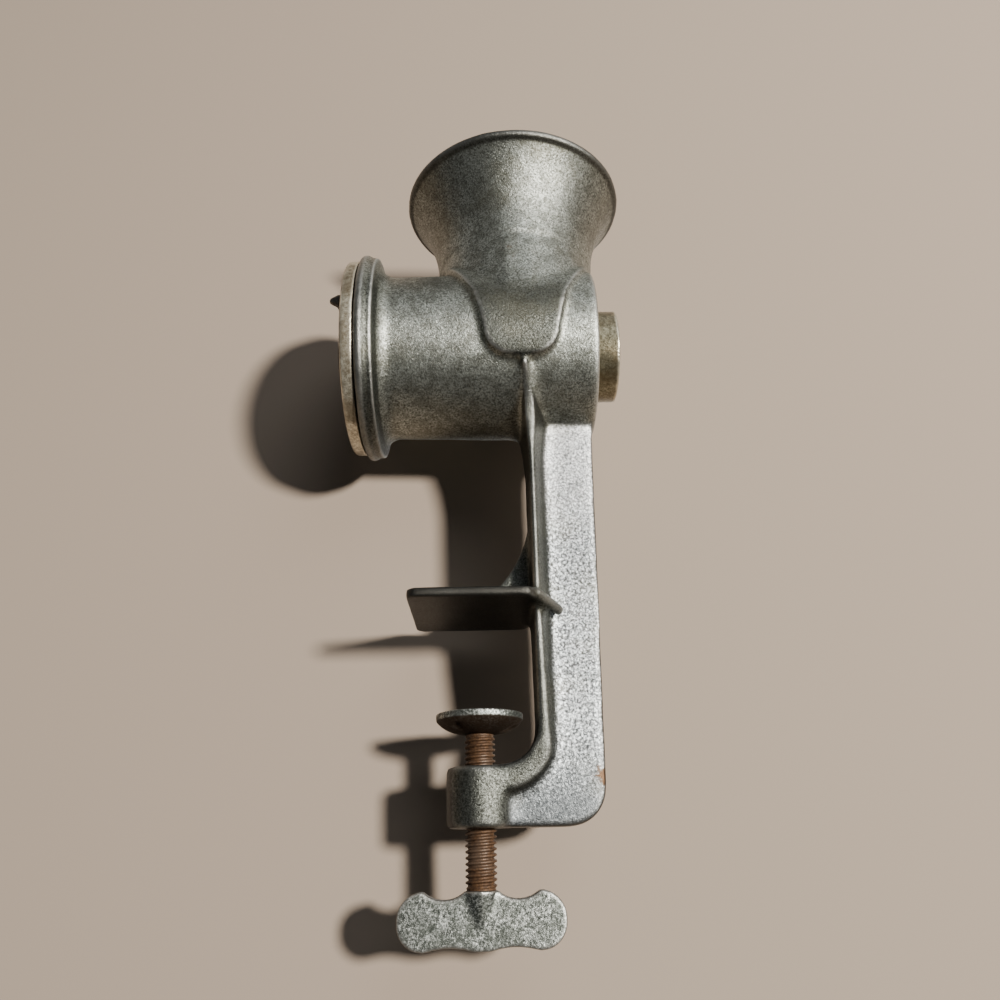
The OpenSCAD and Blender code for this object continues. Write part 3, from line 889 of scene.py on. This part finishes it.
def dull_tin(tree, grain, across, height, column):
    """Speckled tin of hopper and barrel, with painted shade on column and tongue, and darker on the upper
    hopper.
    """
    cloud = use_group(tree, PATCHES, Scale=260.0, Cover=0.40, Softness=0.25)
    speckled = mix_colour(tree, grain["Grain"], TIN_PITS, TIN_FACES)
    clouded = coat(tree, speckled, TIN_CLOUDS, cloud["Mask"], share=0.55)
    tongue = tongue_mask(tree, across, height)
    hopper = rise_between(tree, height, *HOPPER_NECK)
    # painted shade on column and tongue; the upper hopper is made a little darker too
    layers = ((column, COLUMN_SHADE), (tongue, TONGUE_SHADE), (hopper, HOPPER_DARKENING))
    darkening = strongest(tree, *[scaled(tree, mask, share) for mask, share in layers])
    darkened = mix_colour(tree, grain["Grain"], DARK_PITS, DARK_FACES)
    return mix_colour(tree, darkening, clouded, darkened)


def bright_web(tree, height):
    """Spangled bright tin of the web, brightest at its top and darker towards the heel."""
    spangle = use_group(tree, GRAIN, Scale=1250.0)
    spots = math_node(tree, "POWER", spangle["Grain"], SPOT_POWER)
    bright = mix_colour(tree, spots, WEB_PITS, WEB_FACES)
    top_tin = mix_colour(tree, spangle["Grain"], TOP_PITS, TOP_FACES)
    brightest = coat(tree, bright, top_tin, rise_between(tree, height, *WEB_BRIGHTER), share=0.85)
    return coat(tree, brightest, HEEL_GREY, fall_between(tree, height, *HEEL), share=0.75)


def tinned_casting():
    """Old tinned iron: speckled grey, bright on the web, with painted shade on shelf, lip, bead front and
    the web's sides, rubbed on its edges.
    """
    material, tree, shader = new_finish("tinned_casting")
    grain = use_group(tree, GRAIN, Scale=1500.0)
    wear = use_group(tree, WEAR, Edge=0.9, Hollow=0.8)
    stain = use_group(tree, PATCHES, Scale=34.0, Cover=0.47, Softness=0.22)
    rust = use_group(tree, PATCHES, Scale=95.0, Cover=0.68, Softness=0.08)
    along, across, height = split_axes(tree, frame_coords(tree))
    column = fall_between(tree, height, *COLUMN_TOP)
    web = web_mask(tree, along, across, height)
    tinned = mix_colour(tree, web, dull_tin(tree, grain, across, height, column), bright_web(tree, height))
    stained = coat(tree, tinned, TIN_STAIN, stain["Mask"], share=0.25)
    dirty = coat(tree, stained, TIN_DIRT, wear["Dirt"], share=0.55)
    worn = coat(tree, dirty, TIN_RUBBED, wear["Worn"], share=varied(tree, column, plain=0.7, change=-0.4))
    rusted = strongest(tree, scaled(tree, rust["Mask"], PATCH_RUST), chip_mask(tree))
    rusty = mix_colour(tree, rusted, worn, TIN_RUST)
    # painted shade over shelf, lip, bead front and the web's narrow sides
    shade_painted = coat(tree, rusty, TIN_SHADE, painted_shade_mask(tree, along, height, web), share=0.92)
    rough = varied(tree, grain["Grain"], plain=0.48, change=-0.16)
    rougher = varied(tree, rust["Mask"], plain=rough, change=0.3)
    dress(tree, shader, shade_painted, rougher, metallic=0.92, height=grain["Height"], depth=0.14 * MM)
    return material


# Finishes of the other pieces

IRON_STAIN = (0.085, 0.058, 0.026)
IRON_DIRT = (0.06, 0.04, 0.02)
IRON_RUBBED = (0.66, 0.60, 0.47)
RUST_PITS = (0.034, 0.016, 0.007)
RUST_FACES = (0.13, 0.067, 0.03)
RUST_RUBBED = (0.15, 0.11, 0.082)
ZINC_PITS = (0.032, 0.037, 0.031)
ZINC_FACES = (0.72, 0.75, 0.70)
ZINC_CLOUDS = (0.085, 0.094, 0.08)
ZINC_DIRT = (0.05, 0.05, 0.045)
# painted shade: ZINC_SHADE darkens the sides; ZINC_RUST is rust colour, kept dark so that on faces turned
# down it also paints shade
ZINC_SHADE = (0.05, 0.047, 0.04)
ZINC_RUST = (0.03, 0.015, 0.007)
ZINC_RUBBED = (0.62, 0.60, 0.55)
OILED_PITS = (0.035, 0.03, 0.026)
OILED_FACES = (0.13, 0.115, 0.095)
OILED_RUBBED = (0.36, 0.33, 0.28)
DOWN_FACING = (-0.6, -0.1)


def turned_iron(name, pits, faces):
    """Bare turned iron gone tan, with brown stains."""
    material, tree, shader = new_finish(name)
    grain = use_group(tree, GRAIN, Scale=900.0)
    wear = use_group(tree, WEAR, Edge=0.9, Hollow=0.8)
    stain = use_group(tree, PATCHES, Scale=70.0, Cover=0.44, Softness=0.2)
    speckled = mix_colour(tree, grain["Grain"], pits, faces)
    stained = coat(tree, speckled, IRON_STAIN, stain["Mask"], share=0.75)
    dirty = coat(tree, stained, IRON_DIRT, wear["Dirt"], share=0.8)
    worn = coat(tree, dirty, IRON_RUBBED, wear["Worn"], share=0.6)
    rough = varied(tree, stain["Mask"], plain=0.28, change=0.2)
    dress(tree, shader, worn, rough, metallic=0.75, height=grain["Height"], depth=0.06 * MM)
    return material


def rusty_thread():
    """Rust-brown thread with greyer rubbed patches."""
    material, tree, shader = new_finish("rusty_thread")
    grain = use_group(tree, GRAIN, Scale=1100.0)
    patch = use_group(tree, PATCHES, Scale=120.0, Cover=0.45, Softness=0.2)
    rust = mix_colour(tree, grain["Grain"], RUST_PITS, RUST_FACES)
    rubbed = coat(tree, rust, RUST_RUBBED, patch["Mask"], share=0.5)
    rough = varied(tree, patch["Mask"], plain=0.62, change=-0.2)
    dress(tree, shader, rubbed, rough, metallic=0.45, height=grain["Height"], depth=0.1 * MM)
    return material


def mottled_zinc(name, rust_cover, rust_and_shade_below, side_shade_share):
    """Dull zinc in small grey and white spangles, with painted shade on its sides, and rust on faces
    turned down that is kept dark as painted shade too.
    """
    material, tree, shader = new_finish(name)
    grain = use_group(tree, GRAIN, Scale=1350.0)
    cloud = use_group(tree, PATCHES, Scale=230.0, Cover=0.38, Softness=0.25)
    wear = use_group(tree, WEAR, Edge=0.9, Hollow=0.7)
    rust = use_group(tree, PATCHES, Scale=110.0, Cover=rust_cover, Softness=0.12)
    spots = math_node(tree, "POWER", grain["Grain"], SPOT_POWER)
    speckled = mix_colour(tree, spots, ZINC_PITS, ZINC_FACES)
    clouded = coat(tree, speckled, ZINC_CLOUDS, cloud["Mask"], share=0.6)
    dirty = coat(tree, clouded, ZINC_DIRT, wear["Dirt"], share=0.75)
    # painted shade on the sides
    shade_painted = coat(tree, dirty, ZINC_SHADE, on_sides(tree), share=side_shade_share)
    _, _, upward = facing_axes(tree)
    # rust on faces turned down, partly real rust and partly painted shade
    down = fall_between(tree, upward, *DOWN_FACING)
    rusted = strongest(tree, rust["Mask"], scaled(tree, down, rust_and_shade_below))
    rusty = coat(tree, shade_painted, ZINC_RUST, rusted, share=0.92)
    worn = coat(tree, rusty, ZINC_RUBBED, wear["Worn"], share=0.4)
    rough = varied(tree, rusted, plain=0.42, change=0.25)
    dress(tree, shader, worn, rough, metallic=0.85, height=grain["Height"], depth=0.1 * MM)
    return material


def dark_iron():
    """Dark oiled iron of the thumb nut and its stud."""
    material, tree, shader = new_finish("dark_iron")
    grain = use_group(tree, GRAIN, Scale=900.0)
    wear = use_group(tree, WEAR, Edge=0.9, Hollow=0.8)
    speckled = mix_colour(tree, grain["Grain"], OILED_PITS, OILED_FACES)
    worn = coat(tree, speckled, OILED_RUBBED, wear["Worn"], share=0.4)
    rough = varied(tree, grain["Grain"], plain=0.55, change=-0.15)
    dress(tree, shader, worn, rough, metallic=0.7, height=grain["Height"], depth=0.08 * MM)
    return material


# Floor, lights and camera: the grinder lies on its far side and is seen from the clamp's end

FLOOR_Y = 33.1 * MM
FLOOR_RISE_X = 0.0198
FLOOR_RISE_Z = 0.0495
FLOOR_HALF = 2.5
FLOOR_COLOUR = (0.29, 0.23, 0.178)
FLOOR_ROUGHNESS = 0.9
LIGHT_AIM = Vector((5, 0, 40)) * MM
KEY_FROM = Vector((0.557, -0.829, 0.054))
SKY_FROM = Vector((0.3, -0.75, 0.58))
FILL_FROM = Vector((-0.75, -0.60, -0.25))
TOP_FROM = Vector((0.35, -0.25, 0.90))
FRONT_FROM = Vector((-0.75, -0.12, 0.65))
REAR_FROM = Vector((0.3, 0.9, 0.3))
SUN_COLOUR = (1.0, 0.96, 0.9)
SKY_COLOUR = (0.92, 0.96, 1.0)
FILL_COLOUR = (0.9, 0.95, 1.0)
LAMP_COLOUR = (1.0, 1.0, 1.0)
REAR_COLOUR = (1.0, 0.98, 0.95)
WORLD_COLOUR = (0.80, 0.86, 0.95)
WORLD_STRENGTH = 0.035
CAMERA_AT = Vector((2.4, -257.2, -68.6)) * MM
CAMERA_FORWARD = Vector((0.0190, 0.9220, 0.3869))
CAMERA_ROLL = math.radians(-1.34)
CAMERA_LENS = 30.0
CAMERA_SENSOR = 36.0
CAMERA_NEAR = 0.01


def pale_floor():
    """Pale matt floor, clear when seen from behind and to the light behind it."""
    material, tree, shader = new_finish("pale_floor")
    shader.inputs["Base Color"].default_value = (*FLOOR_COLOUR, OPAQUE)
    shader.inputs["Roughness"].default_value = FLOOR_ROUGHNESS
    clear = place(tree, "ShaderNodeBsdfTransparent")
    side = place(tree, "ShaderNodeNewGeometry")
    path = place(tree, "ShaderNodeLightPath")
    chosen = place(tree, "ShaderNodeMixShader")
    unseen = strongest(tree, side.outputs["Backfacing"], path.outputs["Is Shadow Ray"])
    wire(tree, unseen, chosen.inputs["Fac"])
    wire(tree, shader.outputs["BSDF"], chosen.inputs[1])
    wire(tree, clear.outputs["BSDF"], chosen.inputs[2])
    wire(tree, chosen.outputs["Shader"], tree.nodes["Material Output"].inputs["Surface"])
    return material


def lay_floor():
    """Floor under the grinder as it lies on the hopper's rim and the flange's bead."""
    plan = [(x * FLOOR_HALF, z * FLOOR_HALF) for x, z in ((-1, -1), (1, -1), (1, 1), (-1, 1))]
    corners = [(x, FLOOR_Y + FLOOR_RISE_X * x + FLOOR_RISE_Z * z, z) for x, z in plan]
    mesh = bpy.data.meshes.new("floor")
    mesh.from_pydata(corners, [], [(0, 1, 2, 3)])
    mesh.materials.append(pale_floor())
    new_piece("floor", mesh)


def area_light(name, direction, distance, size, power, colour):
    """Round soft light that shines on the grinder from a direction."""
    lamp = bpy.data.lights.new(name, "AREA")
    lamp.shape = "DISK"
    lamp.size = size
    lamp.energy = power
    lamp.color = colour
    holder = bpy.data.objects.new(name, lamp)
    holder.location = LIGHT_AIM + direction.normalized() * distance
    holder.rotation_euler = (-direction).to_track_quat("-Z", "Y").to_euler()
    bpy.context.collection.objects.link(holder)


def light_studio():
    """Key light with soft light round it, and weak lights for the ends and the far side."""
    area_light("key", KEY_FROM, distance=1.8, size=0.2, power=80, colour=SUN_COLOUR)
    area_light("sky", SKY_FROM, distance=1.5, size=0.9, power=5, colour=SKY_COLOUR)
    area_light("fill", FILL_FROM, distance=1.2, size=0.9, power=0.45, colour=FILL_COLOUR)
    area_light("top", TOP_FROM, distance=1.2, size=0.7, power=1.4, colour=LAMP_COLOUR)
    area_light("front", FRONT_FROM, distance=1.2, size=0.7, power=0.7, colour=LAMP_COLOUR)
    area_light("rear", REAR_FROM, distance=1.3, size=0.8, power=12, colour=REAR_COLOUR)
    world = bpy.data.worlds.new("studio")
    world.use_nodes = True
    surroundings = world.node_tree.nodes["Background"]
    surroundings.inputs["Color"].default_value = (*WORLD_COLOUR, OPAQUE)
    surroundings.inputs["Strength"].default_value = WORLD_STRENGTH
    bpy.context.scene.world = world


def place_camera():
    camera = bpy.data.cameras.new("camera")
    camera.lens = CAMERA_LENS
    camera.sensor_width = CAMERA_SENSOR
    camera.clip_start = CAMERA_NEAR
    holder = bpy.data.objects.new("camera", camera)
    turn = CAMERA_FORWARD.to_track_quat("-Z", "Y").to_matrix()
    roll = Matrix.Rotation(CAMERA_ROLL, 3, "Z")
    holder.matrix_world = Matrix.Translation(CAMERA_AT) @ (turn @ roll).to_4x4()
    bpy.context.collection.objects.link(holder)
    bpy.context.scene.camera = holder


ring_iron = turned_iron("ring_iron", pits=(0.28, 0.24, 0.17), faces=(0.80, 0.75, 0.60))
stub_iron = turned_iron("stub_iron", pits=(0.075, 0.064, 0.038), faces=(0.27, 0.245, 0.165))
oiled_iron = dark_iron()
make_casting(tinned_casting())
make_worm(stub_iron)
make_cutter(ring_iron)
make_stud(oiled_iron)
make_thumb_nut(oiled_iron)
make_threaded_rod(rusty_thread())
make_wing(mottled_zinc("wing_zinc", rust_cover=0.74, rust_and_shade_below=0.15, side_shade_share=0.85))
make_pad(mottled_zinc("pad_zinc", rust_cover=0.6, rust_and_shade_below=1.0, side_shade_share=0.0))
lay_floor()
light_studio()
place_camera()

bpy.context.view_layer.update()
